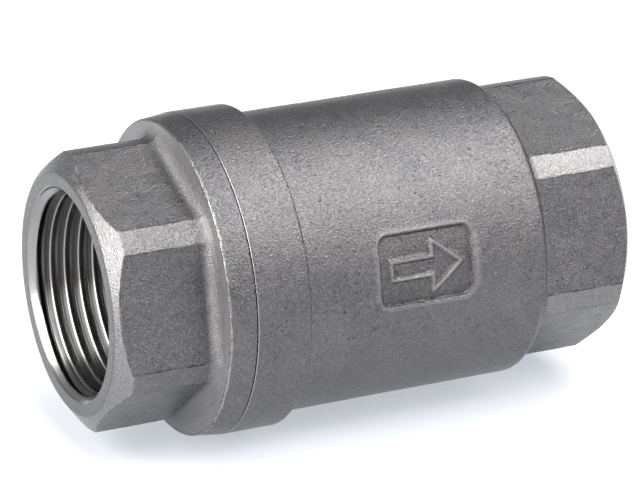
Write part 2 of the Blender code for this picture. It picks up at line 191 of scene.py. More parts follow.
# Painted shades inwards from the mouth: a countersink, a painted dark line and the plain lead-in,
# and where the thread's own painted shades take over, all in shares of MOUTH_DEPTH
MOUTH_DEPTH = 1.5 * MM
MOUTH_SHADE = 0.35
MOUTH_LINE_SHADE = 0.95
LEAD_IN_SHADE = 0.72
MOUTH_STEPS = (0.85, 0.95, 1.2, 1.3)
MOUTH_SHADES = (MOUTH_SHADE, MOUTH_LINE_SHADE, MOUTH_LINE_SHADE, LEAD_IN_SHADE)
LEAD_IN_END = (1.6, 1.8)

# End cap
FLANGE_START = 15.95 * MM
FLANGE_EDGE = 0.4 * MM
FLANGE_END = 20.0 * MM
FLANGE_R = (24.2 * MM, 24.6 * MM)
FLANGE_DIP = (0.04 * MM, 1.6 * MM)
FLANGE_BITE = (0.05 * MM, 0.8 * MM)
WORN_BITE = (0.02 * MM, 0.07 * MM)
FLANGE_SHINE = 0.08
WORN_SHINE = 0.6
CAP_COVE = 1.9 * MM
COVE_RISE = 1.5 * CAP_COVE
COVE_MOST = 0.85
# painted light on the cove and the flange's front face
COVE_SHADE = -0.9
JOINT_CHAMFER = 0.3 * MM
JOINT_SHINE = 0.4
JOINT_EDGE_SHINE = 0.2
SPIGOT_R = 20.1 * MM
SPIGOT_END = 31.0 * MM
SEAT_LIP_R = 13.7 * MM
SEAT_CHAMFER = 0.2 * MM
SEAT = span("end_cap")[1]

# Body
COLLAR_START = span("body")[0]
JOINT_SHOWN = 0.12 * MM
JOINT_EDGE = 0.08 * MM
JOINT_CLOSE = (COLLAR_START - FLANGE_END - JOINT_SHOWN) / 2
COLLAR_END = 28.9 * MM
COLLAR_R = outer_radius("body")
COLLAR_EDGE = 0.5 * MM
COLLAR_COVE = 0.35 * MM
# painted shade in the cove at the foot of the collar's step
COLLAR_COVE_SHADE = 0.3
BARREL_R = 23.0 * MM
BARREL_END = 69.1 * MM
BARREL_EDGE = 1.2 * MM
NECK_COVE = 0.6 * MM
# painted shade in the neck's cove
NECK_SHADE = 0.12
SOCKET_R = 20.4 * MM
SOCKET_END = 32.4 * MM
CHAMBER_R = 19.2 * MM
CHAMBER_END = 62.3 * MM
OUTLET_CONE_R = 15.6 * MM
OUTLET_CONE_END = 66.5 * MM
CLIP_GROOVE = (56.2 * MM, 57.8 * MM)
CLIP_GROOVE_R = 20.2 * MM
GASKET_RECESS_R = 22.6 * MM
GASKET_RECESS_END = 21.9 * MM

# Plaque cast into the barrel, with a raised flow arrow
PLAQUE_CLOCK = math.radians(11.0)
PLAQUE_CENTRE = 48.7 * MM
PLAQUE_HALF = (7.7 * MM, 5.6 * MM)
PLAQUE_CORNER = 1.8 * MM
PLAQUE_DEPTH = 0.65 * MM
PLAQUE_EDGE = 0.28 * MM
PLAQUE_MARGIN = 0.4 * MM
# painted shade in the plaque's recess, and a painted highlight on the arrow's raised outline and
# the rim
PLAQUE_SHADE = 0.14
RIDGE_SHADE = -0.6
RIM_WIDTH = 0.3 * MM
RIM_HEIGHT = 0.1 * MM
ARROW_HALF = 5.7 * MM
ARROW_HEAD = 4.6 * MM
ARROW_HEAD_HALF = 3.9 * MM
ARROW_SHAFT_HALF = 1.4 * MM
ARROW_LINE = 0.52 * MM
ARROW_HEIGHT = 0.5 * MM

# Poppet and its fasteners
SOFT_EDGE = 0.15 * MM
ROUND_EDGE = 0.3 * MM
FASTENER_BORE_R = 3.3 * MM
DISC_RIM_R = 14.3 * MM
DISC_START = 34.4 * MM
DISC_BOSS_R = 4.4 * MM
DISC_EDGE = 0.25 * MM
SEAL_BORE_R = 4.7 * MM
NUT_HALF = 5.0 * MM
STEM_R = 3.0 * MM
STEM_THREAD_DEPTH = 0.55 * MM
STEM_THREAD_PITCH = 1.0 * MM
# painted shade in the stem thread's grooves
STEM_THREAD_SHADE = 0.6
STEM_GROOVE = (64.8 * MM, 66.1 * MM, 2.3 * MM)
STEM_EDGE = 0.25 * MM
STOP_START = 37.7 * MM
STOP_END = 46.2 * MM
STOP_R = outer_radius("poppet_stem")
CLIP_BORE_R = 2.6 * MM
CLIP_WINDOW = 0.8 * MM
MOUTH_CLOCK = math.radians(-90)

# Spring
SPRING_WIRE_R = 0.6 * MM
SPRING_R = outer_radius("spring") - SPRING_WIRE_R
SPRING_TURNS = 6
SPRING_END_PITCH = 1.45 * MM
WASHER_BORE_R = 5.8 * MM

# Stem guide
GUIDE_RIM = (58.0 * MM, 62.0 * MM)
GUIDE_RIM_R = 15.9 * MM
GUIDE_R = outer_radius("stem_guide")
ARM_WIDTH = 3.0 * MM
ARM_INSET = 0.4 * MM
ARM_EDGE = 0.5 * MM
HUB_R = 6.2 * MM
HUB_SEAT = (55.5 * MM, 59.5 * MM)
HUB_SEAT_R = 9.0 * MM
HUB_BOSS_R = 5.6 * MM
HUB_BORE_R = 4.7 * MM
BUSH_BORE_R = 3.15 * MM
RING_BORE_R = 17.7 * MM
RING_MOUTH = 8.0 * MM
RING_LUG_R = 1.7 * MM
RING_HOLE_R = 0.8 * MM

# A clearance that can't be seen
HAIR = 0.02 * MM

# Edges with a larger angle between their faces stay sharp, by how the piece was made
SHARP_ANGLE = math.radians(50)
JOINED_SHARP_ANGLE = math.radians(35)


# ---------------------------------------------------------------------------- round skins

def place(s, r, clock):
    """Flow coordinates to the object frame."""
    return np.stack(
        [CAD_LOW.x + s + 0 * clock, -r * np.cos(clock), r * np.sin(clock)], axis=-1
    )


def between(a, b, share):
    return a + (b - a) * share


def smooth(low, high, value):
    t = np.clip((value - low) / (high - low), 0.0, 1.0)
    return t * t * (3 - 2 * t)


def stations(start, end, rows):
    """Values in even steps after start, up to end.  Either may differ round the clock."""
    return [start + (end - start) * k / rows for k in range(1, rows + 1)]


def quarter(rows, first=1):
    """The angles of a quarter round."""
    return [math.pi / 2 * k / rows for k in range(first, rows + 1)]


class Skin:
    """A closed skin round the flow axis, laid ring by ring.  Each ring has one point a clock."""

    def __init__(self, clocks):
        self.clocks = clocks
        self.points = []
        self.turned = []
        self.shade = []
        self.faces = []
        self.count = 0
        self.first = None
        self.last = None

    def add(self, s, r, clocks, turned, shade):
        """Adds points and gives their indices."""
        s, r, turned, shade = (
            np.broadcast_to(value, clocks.shape) for value in (s, r, turned, shade)
        )
        self.points.append(place(s, r, clocks))
        self.turned.append(turned)
        self.shade.append(shade)
        indices = np.arange(self.count, self.count + len(clocks))
        self.count += len(clocks)
        return indices

    def face(self, *corners):
        """A face, unless too few of its corners are left when equal neighbours are merged."""
        loop = [c for i, c in enumerate(corners) if c != corners[i - 1]]
        if len(set(loop)) > 2:
            self.faces.append(loop)

    def join(self, ring):
        """Skins the gap between the last ring and this one."""
        if self.last is None:
            self.first = ring
        else:
            size = len(ring)
            for i in range(size):
                k = (i + 1) % size
                self.face(self.last[i], self.last[k], ring[k], ring[i])
        self.last = ring

    def ring(self, s, r, turned=0.0, shade=0.0):
        self.join(self.add(s, r, self.clocks, turned, shade))

    def stretch(self, start, end, rows, turned):
        """Rings on the straight line that leaves one (s, r) pair and ends on another."""
        for k in range(1, rows + 1):
            s, r = (between(a, b, k / rows) for a, b in zip(start, end))
            self.ring(s, r, turned)

    def lathe(self, outline):
        """Turned stretches through (s, r, rows) corners.  The rows are those up to the corner."""
        self.ring(*outline[0][:2], 1.0)
        for start, end in zip(outline, outline[1:]):
            self.stretch(start[:2], end[:2], end[2], 1.0)

    def close(self):
        self.join(self.first)

    def thread(self, low, high, radius_at, rows, forward=True, pitch=THREAD_PITCH):
        """A right-handed helical stretch.  Its rows follow the helix from s = low to s = high."""
        size = len(self.clocks)
        share = 1.0 - (self.clocks - self.clocks[0]) / (2 * math.pi)
        step = pitch / rows
        last_row = math.ceil((high - low) / step)
        ends = {}
        for key, s in (("low", low), ("high", high)):
            r, shade = radius_at(np.full(size, s), self.clocks)
            ends[key] = self.add(s, r, self.clocks, 1.0, shade)
        table = {}
        for j in range(-2 * rows, last_row + 1):
            s = low + pitch * (j / rows + share)
            below = s < low + 0.3 * step
            above = s > high - 0.3 * step
            inside = ~(below | above)
            indices = np.where(below, ends["low"], ends["high"])
            if inside.any():
                r, shade = radius_at(s[inside], self.clocks[inside])
                indices[inside] = self.add(s[inside], r, self.clocks[inside], 1.0, shade)
            table[j] = indices
        entry, leave = (ends["low"], ends["high"]) if forward else (ends["high"], ends["low"])
        self.join(entry)
        for j in range(-rows, last_row):
            here, there = table[j], table[j + 1]
            for i in range(size - 1):
                self.face(here[i], here[i + 1], there[i + 1], there[i])
        # the last clock of a row meets the first clock of the row one turn below it
        for j in range(-rows, last_row):
            under, over = table[j - rows][0], table[j + 1 - rows][0]
            self.face(table[j][size - 1], under, over, table[j + 1][size - 1])
        self.last = leave

    def tip(self, s, ring):
        """Covers a ring's hole with a fan from a point on the flow axis."""
        centre = self.add(s, 0.0, self.clocks[:1], 1.0, 0.0)[0]
        for i in range(len(ring)):
            self.face(ring[i], ring[(i + 1) % len(ring)], centre)

    def build(self, name):
        mesh = bpy.data.meshes.new(name)
        mesh.from_pydata(np.concatenate(self.points).tolist(), [], self.faces)
        for key, values in (("turned", self.turned), ("shade", self.shade)):
            attribute = mesh.attributes.new(key, "FLOAT", "POINT")
            attribute.data.foreach_set("value", np.concatenate(values).astype(np.float32))
        return finish_mesh(name, mesh)


def finish_mesh(name, mesh):
    """An object of a mesh with its faces turned outwards and its edges smooth up to an angle."""
    form = bmesh.new()
    form.from_mesh(mesh)
    loose = [v for v in form.verts if not v.link_faces]
    bmesh.ops.delete(form, geom=loose, context="VERTS")
    bmesh.ops.recalc_face_normals(form, faces=form.faces)
    form.to_mesh(mesh)
    form.free()
    mesh.shade_smooth()
    mesh.set_sharp_from_angle(angle=SHARP_ANGLE)
    obj = bpy.data.objects.new(name, mesh)
    bpy.context.scene.collection.objects.link(obj)
    return obj


def spaced_clocks(step, dense):
    """Clock angles for one turn: a common step, and finer steps in (centre, half, step) ranges."""
    angles = []
    angle = 0.0
    while angle < 2 * math.pi - 1e-6:
        angles.append(angle)
        stride = step
        for centre, half, fine in dense:
            away = abs((angle - centre + math.pi) % (2 * math.pi) - math.pi)
            ahead = (centre - half - angle) % (2 * math.pi)
            if away < half:
                stride = min(stride, fine)
            elif ahead < stride:
                stride = max(fine, ahead)
        angle += stride
    if 2 * math.pi - angles[-1] < 0.4 * step:
        angles.pop()
    return np.array(angles)


def relief(s, clocks, radius, size, seed):
    """Smooth random relief of about -1 to 1 on a round surface, with the given feature size."""
    points = place(np.broadcast_to(s, clocks.shape), radius, clocks) / size
    offset = Vector([seed * step for step in SEED_STEPS])
    return np.array([noise.noise(Vector(p) + offset) for p in points])


def layered_relief(layers, s, clocks, radius, seed):
    return sum(
        height * relief(s, clocks, radius, size, seed + k)
        for k, (height, size) in enumerate(layers)
    )


def cast_round(s, clocks, radius, below, seed):
    """The radius of a round cast face: slow waves and a finer orange peel, a little below it."""
    return radius - below + layered_relief(CAST_RELIEF, s, clocks, radius, seed)


def hexagon(clocks, s, kind):
    """(radius, turned, shade) of a rough cast hexagon whose corners are turned to a round."""
    clock, seed, shine = kind
    turn = (clocks - clock + SIXTH / 2) % SIXTH - SIXTH / 2
    rough = layered_relief(HEX_RELIEF, s, clocks, HEX_CORNER_R, seed)
    flat = (HEX_HALF + rough) / np.cos(turn)
    below = HEX_CORNER_R - flat
    # painted shade: a ragged dark line along each flat's edge, where it meets the turned corner
    ragged = CORNER_LINE + relief(s, clocks, HEX_CORNER_R, RAGGED_SIZE, seed + 2)
    shade = EDGE_SHADE * ragged * np.exp(-((below / EDGE_WIDTH) ** 2)) * (below > 0)
    return np.minimum(flat, HEX_CORNER_R), shine * (below <= 0), shade


def corner_edges(kind, fine):
    """Dense ranges for spaced_clocks, at the edges of a hexagon's rounded corners."""
    return [
        (kind[0] + k * SIXTH + side * HEX_CORNER_EDGE, *fine)
        for k in range(6)
        for side in (-1, 1)
    ]


def thread_form(offset):
    """Depth below the crest, from 0 to 1, at a share of the pitch from the crest."""
    rise = 1.0 - np.abs(1.0 - 2.0 * (offset % 1.0))
    return np.clip((rise - THREAD_CREST_SHARE) / THREAD_FLANK_SHARE, 0.0, 1.0)


def pipe_thread(face, direction):
    """A function of (s, clocks) that gives the radius and painted shade of the bore behind a face.
    """

    def radius_at(s, clocks):
        depth = (s - face) * direction
        phase = s / THREAD_PITCH + clocks / (2 * math.pi)
        run_out = smooth(THREAD_END, THREAD_END - THREAD_PITCH, depth)
        groove = THREAD_DEPTH * thread_form(phase) * run_out
        cone = MOUTH_R - depth
        # painted shade on the flanks that face out of the bore, painted light on the inner flanks,
        # a bright crest line
        faces_out = smooth(*ROOT_STEP, (phase * direction) % 1.0)
        flank = between(INNER_SHADE, FLANK_SHADE, faces_out)
        shade = between(CREST_SHADE, flank, smooth(0.0, CREST_FADE, groove / THREAD_DEPTH))
        # painted shades at the mouth: the countersink, a dark line and the lead-in
        inward = depth / MOUTH_DEPTH
        entry = np.interp(inward, MOUTH_STEPS, MOUTH_SHADES)
        shade = between(entry, shade, smooth(*LEAD_IN_END, inward))
        return np.maximum(THREAD_CREST_R + groove, cone), shade

    return radius_at


# ------------------------------------------------------------------------ cap and body skins

def chamfer_reach(clocks, face, kind):
    """(radius, reach): the hexagon's radius at an end face, and the length of its chamfer."""
    radius = hexagon(clocks, face, kind)[0]
    return radius, (radius - FACE_R) / CHAMFER_SLOPE


def inlet_chamfer(skin):
    """Rings from the inlet face's edge to where the chamfer meets the hexagon, and its length."""
    radius, reach = chamfer_reach(skin.clocks, 0.0, INLET_HEX)
    # painted shade: a ragged dark line where the chamfer meets the hexagon's flats
    seed = INLET_HEX[1] + 3
    ragged = EDGE_SHADE * (FACE_LINE + relief(0.0, skin.clocks, FACE_R, RAGGED_SIZE, seed))
    line = ragged * (radius < HEX_CORNER_R - HAIR)
    for t in (*np.linspace(0.0, 0.8, 5), 0.93, 1.0):
        s = between(FACE_EDGE, reach, t)
        skin.ring(s, FACE_R + CHAMFER_SLOPE * s, CHAMFER_SHINE, line * (t == 1.0))
    return reach


def hexagon_rows(skin, start, end, kind, rows):
    for s in stations(start, end, rows):
        skin.ring(s, *hexagon(skin.clocks, s, kind))


def make_end_cap():
    skin = Skin(spaced_clocks(CAP_STEP, corner_edges(INLET_HEX, CAP_CORNERS)))

    # end face painted darker, from the mouth outwards, and hexagon with painted dark lines on its
    # edges
    for r in np.linspace(MOUTH_R, FACE_R, 5):
        skin.ring(0.0, r, FACE_SHINE, FACE_SHADE)
    reach = inlet_chamfer(skin)
    cove_start = FLANGE_START - CAP_COVE
    hexagon_rows(skin, reach, cove_start, INLET_HEX, 38)

    # cove and front of the flange, both with painted light
    foot = hexagon(skin.clocks, cove_start, INLET_HEX)[0]
    front_r = FLANGE_R[0] - FLANGE_EDGE
    bend = np.minimum(COVE_RISE, COVE_MOST * (front_r - foot))
    rows = 9
    for k, angle in enumerate(quarter(rows), 1):
        s = cove_start + CAP_COVE * math.sin(angle)
        r = foot + bend * (1 - math.cos(angle))
        skin.ring(s, r, FLANGE_SHINE, COVE_SHADE * k / rows)
    rows = 4
    for k in range(1, rows + 1):
        r = foot + bend + (front_r - foot - bend) * k / rows
        rough = relief(FLANGE_START, skin.clocks, front_r, FLANGE_DIP[1], FLANGE_FACE_SEED + k)
        dip = FLANGE_DIP[0] * (1 + rough) * (k < rows)
        skin.ring(FLANGE_START + dip, r, FLANGE_SHINE, COVE_SHADE)

    # worn edge and round of the flange
    rows = 5
    for k, angle in enumerate(quarter(rows), 1):
        rough = relief(FLANGE_START, skin.clocks, front_r, FLANGE_BITE[1], FLANGE_EDGE_SEED + k)
        bite = FLANGE_BITE[0] * (1 + rough)
        s = FLANGE_START + FLANGE_EDGE * (1 - math.cos(angle))
        worn = WORN_SHINE * smooth(*WORN_BITE, bite) * (1 < k < rows)
        skin.ring(s, front_r + FLANGE_EDGE * math.sin(angle) - bite, worn)
    rows = 11
    joint = FLANGE_END + JOINT_CLOSE
    along = stations(FLANGE_START + FLANGE_EDGE, joint - JOINT_EDGE, rows)
    for s, radius in zip(along, stations(*FLANGE_R, rows)):
        skin.ring(s, cast_round(s, skin.clocks, radius, FLANGE_SKIN, FLANGE_SEED))
    skin.ring(joint, FLANGE_R[1] - FLANGE_SKIN - JOINT_EDGE, JOINT_EDGE_SHINE)

    # joint face, spigot, seat lip and port
    skin.stretch((joint, FLANGE_R[1] - JOINT_CHAMFER), (joint, GASKET_RECESS_R), 2, JOINT_SHINE)
    skin.lathe([
        (FLANGE_END, GASKET_RECESS_R, 1),
        (FLANGE_END, SPIGOT_R, 2),
        (SPIGOT_END - JOINT_CHAMFER, SPIGOT_R, 4),
        (SPIGOT_END, SPIGOT_R - JOINT_CHAMFER, 1),
        (SPIGOT_END, SEAT_LIP_R, 2),
        (SEAT, SEAT_LIP_R, 2),
        (SEAT, PORT_R + SEAT_CHAMFER, 2),
        (SEAT - SEAT_CHAMFER, PORT_R, 1),
        (THREAD_END + PORT_TAPER, PORT_R, 6),
        (THREAD_END, THREAD_CREST_R, 1),
    ])
    # the bore's thread, with its painted shades
    bore = pipe_thread(0.0, 1)
    skin.thread(THREAD_START, THREAD_END - THREAD_GAP, bore, INLET_THREAD_ROWS, False)
    skin.ring(MOUTH_EDGE, MOUTH_R, 1.0, MOUTH_SHADE)
    skin.close()
    return skin.build("valve_end_cap")


def plaque_relief(s, clocks):
    """(drop, shade) of the plaque.  The drop is how far it lies below the barrel."""
    along = s - PLAQUE_CENTRE
    across = (clocks - PLAQUE_CLOCK + math.pi) % (2 * math.pi) - math.pi
    across = across * BARREL_R
    ragged = layered_relief(PLAQUE_RELIEF, s, clocks, BARREL_R, PLAQUE_SEED)

    # the recess is a rectangle with rounded corners, inside a low rim
    beyond_x = np.maximum(np.abs(along) - PLAQUE_HALF[0] + PLAQUE_CORNER, 0.0)
    beyond_y = np.maximum(np.abs(across) - PLAQUE_HALF[1] + PLAQUE_CORNER, 0.0)
    inside = PLAQUE_CORNER - np.hypot(beyond_x, beyond_y) + ragged
    recess = smooth(0.0, PLAQUE_EDGE, inside)
    rim = np.exp(-(((inside + RIM_WIDTH) / RIM_WIDTH) ** 2))

    # the arrow is the raised outline of a triangle and a shaft that runs a little into it
    neck = ARROW_HALF - ARROW_HEAD
    slant = math.hypot(ARROW_HEAD, ARROW_HEAD_HALF)
    side = (ARROW_HEAD_HALF * (ARROW_HALF - along) - ARROW_HEAD * np.abs(across)) / slant
    head = np.minimum(side, along - neck)
    shaft = np.minimum(
        ARROW_SHAFT_HALF - np.abs(across), np.minimum(along + ARROW_HALF, neck + MM - along)
    )
    outline = np.abs(np.maximum(head, shaft) + ragged)
    arrow = smooth(ARROW_LINE, 0.25 * ARROW_LINE, outline)

    drop = (PLAQUE_DEPTH - ARROW_HEIGHT * arrow) * recess - RIM_HEIGHT * rim
    # painted highlight on the arrow's raised outline and the rim, painted shade in the recess
    ridge = np.maximum(smooth(0.5, 1.0, arrow) * recess, smooth(0.6, 1.0, rim))
    return drop, between(PLAQUE_SHADE * recess, RIDGE_SHADE, ridge)


def barrel_rows(skin, places):
    for s in places:
        radius = cast_round(s, skin.clocks, BARREL_R, BARREL_SKIN, BARREL_SEED)
        drop, shade = plaque_relief(s, skin.clocks)
        skin.ring(s, radius - drop, 0.0, shade)


def make_body():
    dense = [*corner_edges(OUTLET_HEX, BODY_CORNERS), (PLAQUE_CLOCK, *PLAQUE_RANGE)]
    for side in (-1, 1):
        dense.append((PLAQUE_CLOCK + side * PLAQUE_HALF[1] / BARREL_R, *PLAQUE_SIDES))
    skin = Skin(spaced_clocks(BODY_STEP, dense))

    # joint face and collar, with painted shade in the cove at the collar's foot
    joint = COLLAR_START - JOINT_CLOSE
    collar_r = COLLAR_R - COLLAR_SKIN
    skin.ring(joint, GASKET_RECESS_R, JOINT_SHINE)
    skin.stretch((joint, GASKET_RECESS_R), (joint, collar_r - JOINT_EDGE), 2, JOINT_SHINE)
    start, end = joint + JOINT_EDGE, COLLAR_END - COLLAR_EDGE
    skin.ring(start, collar_r, 1.0)
    skin.ring(start + HAIR, collar_r)
    for s in stations(start, end, 15):
        skin.ring(s, cast_round(s, skin.clocks, COLLAR_R, COLLAR_SKIN, COLLAR_SEED))
    for angle in quarter(4):
        s = end + COLLAR_EDGE * math.sin(angle)
        skin.ring(s, collar_r - COLLAR_EDGE * (1 - math.cos(angle)))
    barrel_r = BARREL_R - BARREL_SKIN
    cove_r = barrel_r + COLLAR_COVE
    for angle in quarter(4, 0):
        s = COLLAR_END + COLLAR_COVE * (1 - math.cos(angle))
        skin.ring(s, cove_r - COLLAR_COVE * math.sin(angle), 0.0, COLLAR_COVE_SHADE)

    # barrel
    plaque_low = PLAQUE_CENTRE - PLAQUE_HALF[0] - PLAQUE_MARGIN
    plaque_high = PLAQUE_CENTRE + PLAQUE_HALF[0] + PLAQUE_MARGIN
    edge_start = BARREL_END - BARREL_EDGE
    barrel_rows(skin, np.linspace(COLLAR_END + 2 * COLLAR_COVE, plaque_low, 15))
    barrel_rows(skin, np.linspace(plaque_low, plaque_high, 66)[1:])
    barrel_rows(skin, np.linspace(plaque_high, edge_start, 13)[1:])
    for angle in quarter(6):
        s = edge_start + BARREL_EDGE * math.sin(angle)
        skin.ring(s, barrel_r - BARREL_EDGE * (1 - math.cos(angle)))

    # neck with painted shade in its cove, outlet hexagon, and end face painted darker
    foot_s = BARREL_END + NECK_COVE
    foot = hexagon(skin.clocks, foot_s, OUTLET_HEX)[0]
    neck = np.minimum(foot + NECK_COVE, BARREL_R - BARREL_EDGE - HAIR)
    for angle in quarter(5):
        s = BARREL_END + NECK_COVE * (1 - math.cos(angle))
        skin.ring(s, neck - (neck - foot) * math.sin(angle), 0.0, NECK_SHADE)
    _, reach = chamfer_reach(skin.clocks, LENGTH, OUTLET_HEX)
    hexagon_rows(skin, foot_s, LENGTH - reach, OUTLET_HEX, 22)
    for s in stations(reach, FACE_EDGE, 5):
        skin.ring(LENGTH - s, FACE_R + CHAMFER_SLOPE * s, CHAMFER_SHINE)
    for r in np.linspace(FACE_R, MOUTH_R, 4):
        skin.ring(LENGTH, r, FACE_SHINE, FACE_SHADE)

    # outlet thread with its painted shades, and inner chamber
    skin.ring(LENGTH - MOUTH_EDGE, MOUTH_R, 1.0, MOUTH_SHADE)
    low, high = LENGTH - THREAD_END + THREAD_GAP, LENGTH - THREAD_START
    skin.thread(low, high, pipe_thread(LENGTH, -1), OUTLET_THREAD_ROWS, False)
    skin.lathe([
        (LENGTH - THREAD_END, THREAD_CREST_R, 1),
        (LENGTH - THREAD_END - PORT_TAPER, PORT_R, 1),
        (OUTLET_CONE_END, PORT_R, 1),
        (CHAMBER_END, OUTLET_CONE_R, 2),
        (CHAMBER_END, CHAMBER_R, 2),
        (CLIP_GROOVE[1], CHAMBER_R, 2),
        (CLIP_GROOVE[1], CLIP_GROOVE_R, 1),
        (CLIP_GROOVE[0], CLIP_GROOVE_R, 1),
        (CLIP_GROOVE[0], CHAMBER_R, 1),
        (SOCKET_END, CHAMBER_R, 6),
        (SOCKET_END, SOCKET_R, 1),
        (GASKET_RECESS_END, SOCKET_R, 3),
        (GASKET_RECESS_END, GASKET_RECESS_R, 1),
    ])
    skin.close()
    return skin.build("valve_body")


# ------------------------------------------------------------------------------ inner pieces

def even_clocks(steps):
    return np.arange(steps) * 2 * math.pi / steps


def open_clocks(half, steps):
    """Clock angles round an open ring, whose mouth reaches a half angle to each side."""
    return np.linspace(MOUTH_CLOCK + half, MOUTH_CLOCK + 2 * math.pi - half, steps)


def eased(outline, radius, closed=True, steps=3):
    """An (s, r) outline with its corners rounded off."""
    count = len(outline)
    points = []
    for i, corner in enumerate(outline):
        here = Vector(corner)
        if not closed and i in (0, count - 1):
            points.append(tuple(here))
            continue
        before = Vector(outline[i - 1]) - here
        after = Vector(outline[(i + 1) % count]) - here
        reach = min(radius, 0.4 * before.length, 0.4 * after.length)
        start = here + before.normalized() * reach
        end = here + after.normalized() * reach
        for k in range(steps + 1):
            u = k / steps
            points.append(tuple(start * (1 - u) ** 2 + here * 2 * u * (1 - u) + end * u**2))
    return points


def ring_outline(start, end, inner, outer):
    return [(start, inner), (start, outer), (end, outer), (end, inner)]


def turned_ring(name, outline, edge, steps=RING_CLOCKS):
    """A turned piece with a bore, from its closed (s, r) outline."""
    skin = Skin(even_clocks(steps))
    for s, r in eased(outline, edge):
        skin.ring(s, r, 1.0)
    skin.close()
    return skin.build(name)


def make_ring(node, bore, edge=SOFT_EDGE):
    """A plain ring with the length and outer radius of its CAD node."""
    return turned_ring("valve_" + node, ring_outline(*span(node), bore, outer_radius(node)), edge)


def tube(name, points, size):
    """A tube with flat ends, from its points: loop after loop of the given size."""
    last = len(points) - size
    faces = [
        (a + i, a + (i + 1) % size, a + size + (i + 1) % size, a + size + i)
        for a in range(0, last, size)
        for i in range(size)
    ]
    faces += [tuple(range(size)), tuple(range(last, last + size))]
    mesh = bpy.data.meshes.new(name)
    mesh.from_pydata([tuple(p) for p in points], [], faces)
    return finish_mesh(name, mesh)


def swept_ring(name, clocks, outline_at):
    """An open ring: an (s, r) outline that may change along the clock angles, with flat ends."""
    outlines = [outline_at(clock) for clock in clocks]
    points = [
        place(np.float64(s), r, clock) for clock, line in zip(clocks, outlines) for s, r in line
    ]
    return tube(name, points, len(outlines[0]))


def combined(obj, operation, others):
    """Unites an object with others, or cuts them out of it, and keeps only the result."""
    for other in others:
        boolean = obj.modifiers.new(operation.lower(), "BOOLEAN")
        boolean.operation = operation
        boolean.solver = "EXACT"
        boolean.object = other
    evaluated = obj.evaluated_get(bpy.context.evaluated_depsgraph_get())
    mesh = bpy.data.meshes.new_from_object(evaluated)
    obj.modifiers.clear()
    obj.data = mesh
    for other in others:
        bpy.data.objects.remove(other, do_unlink=True)
    mesh.shade_smooth()
    mesh.set_sharp_from_angle(angle=JOINED_SHARP_ANGLE)
    return obj


def make_poppet_disc():
    rim_start, end = span("poppet_disc")
    radius = outer_radius("poppet_disc")
    seal_start = span("seat_seal")[0]
    outline = [
        (end, radius),
        (rim_start, radius),
        (rim_start, DISC_RIM_R),
        (DISC_START, DISC_RIM_R),
        (DISC_START, DISC_BOSS_R),
        (seal_start, DISC_BOSS_R),
        (seal_start, FASTENER_BORE_R),
        (end, FASTENER_BORE_R),
    ]
    return turned_ring("valve_poppet_disc", outline, DISC_EDGE)


def make_lock_washer():
    """A split washer whose ends stand a little apart along the stem."""
    start, end = span("lock_washer")
    outer = outer_radius("lock_washer")
    lift = 0.08 * MM

    def outline_at(clock):
        shift = lift * ((clock - MOUTH_CLOCK) / math.pi - 1)
        low, high = start + lift + shift, end - lift + shift
        return eased(ring_outline(low, high, FASTENER_BORE_R, outer), SOFT_EDGE)

    return swept_ring("valve_lock_washer", open_clocks(math.radians(3), 97), outline_at)


def make_retainer_nut():
    start, end = span("retainer_nut")
    skin = Skin(even_clocks(NUT_CLOCKS))
    turn = (skin.clocks - MOUTH_CLOCK + SIXTH) % SIXTH - SIXTH / 2
    hexagon_r = NUT_HALF / np.cos(turn)
    step = 0.1 * MM
    bevel_r = NUT_HALF - step
    bevel_slope = 1.7
    lead = 0.3 * MM
    for face, direction in ((start, 1), (end, -1)):
        rings = [(face, FASTENER_BORE_R + lead)]
        for inward in (k * step for k in range(5)):
            radius = np.minimum(hexagon_r, bevel_r + bevel_slope * inward)
            rings.append((face + direction * inward, radius))
        for s, r in rings[::direction]:
            skin.ring(s, r, 1.0)
    skin.ring(end - lead, FASTENER_BORE_R, 1.0)
    skin.ring(start + lead, FASTENER_BORE_R, 1.0)
    skin.close()
    return skin.build("valve_retainer_nut")


def make_poppet_stem():
    start, end = span("poppet_stem")
    skin = Skin(even_clocks(SMALL_CLOCKS))
    lead = 0.5 * MM
    thread_end = DISC_START - MM

    def radius_at(s, clocks):
        run_out = smooth(thread_end, thread_end - STEM_THREAD_PITCH, s)
        depth = thread_form(s / STEM_THREAD_PITCH + clocks / (2 * math.pi)) * run_out
        cone = STEM_R - lead + (s - start)
        # painted shade, darker deeper in the thread's grooves
        return np.minimum(STEM_R - STEM_THREAD_DEPTH * depth, cone), STEM_THREAD_SHADE * depth

    skin.ring(start, STEM_R - STEM_THREAD_DEPTH - 0.3 * MM, 1.0)
    low, rows = start + 0.1 * MM, STEM_THREAD_ROWS
    skin.thread(low, thread_end, radius_at, rows, True, STEM_THREAD_PITCH)
    groove_start, groove_end, groove_r = STEM_GROOVE
    shaft = [
        (thread_end, STEM_R),
        (STOP_START, STEM_R),
        (STOP_START, STOP_R),
        (STOP_END, STOP_R),
        (STOP_END, STEM_R),
        (groove_start, STEM_R),
        (groove_start, groove_r),
        (groove_end, groove_r),
        (groove_end, STEM_R),
        (end, STEM_R),
        (end, 0.5 * MM),
    ]
    for s, r in eased(shaft, STEM_EDGE, closed=False)[1:]:
        skin.ring(s, r, 1.0)
    skin.tip(end, skin.last)
    skin.tip(start, skin.first)
    return skin.build("valve_poppet_stem")


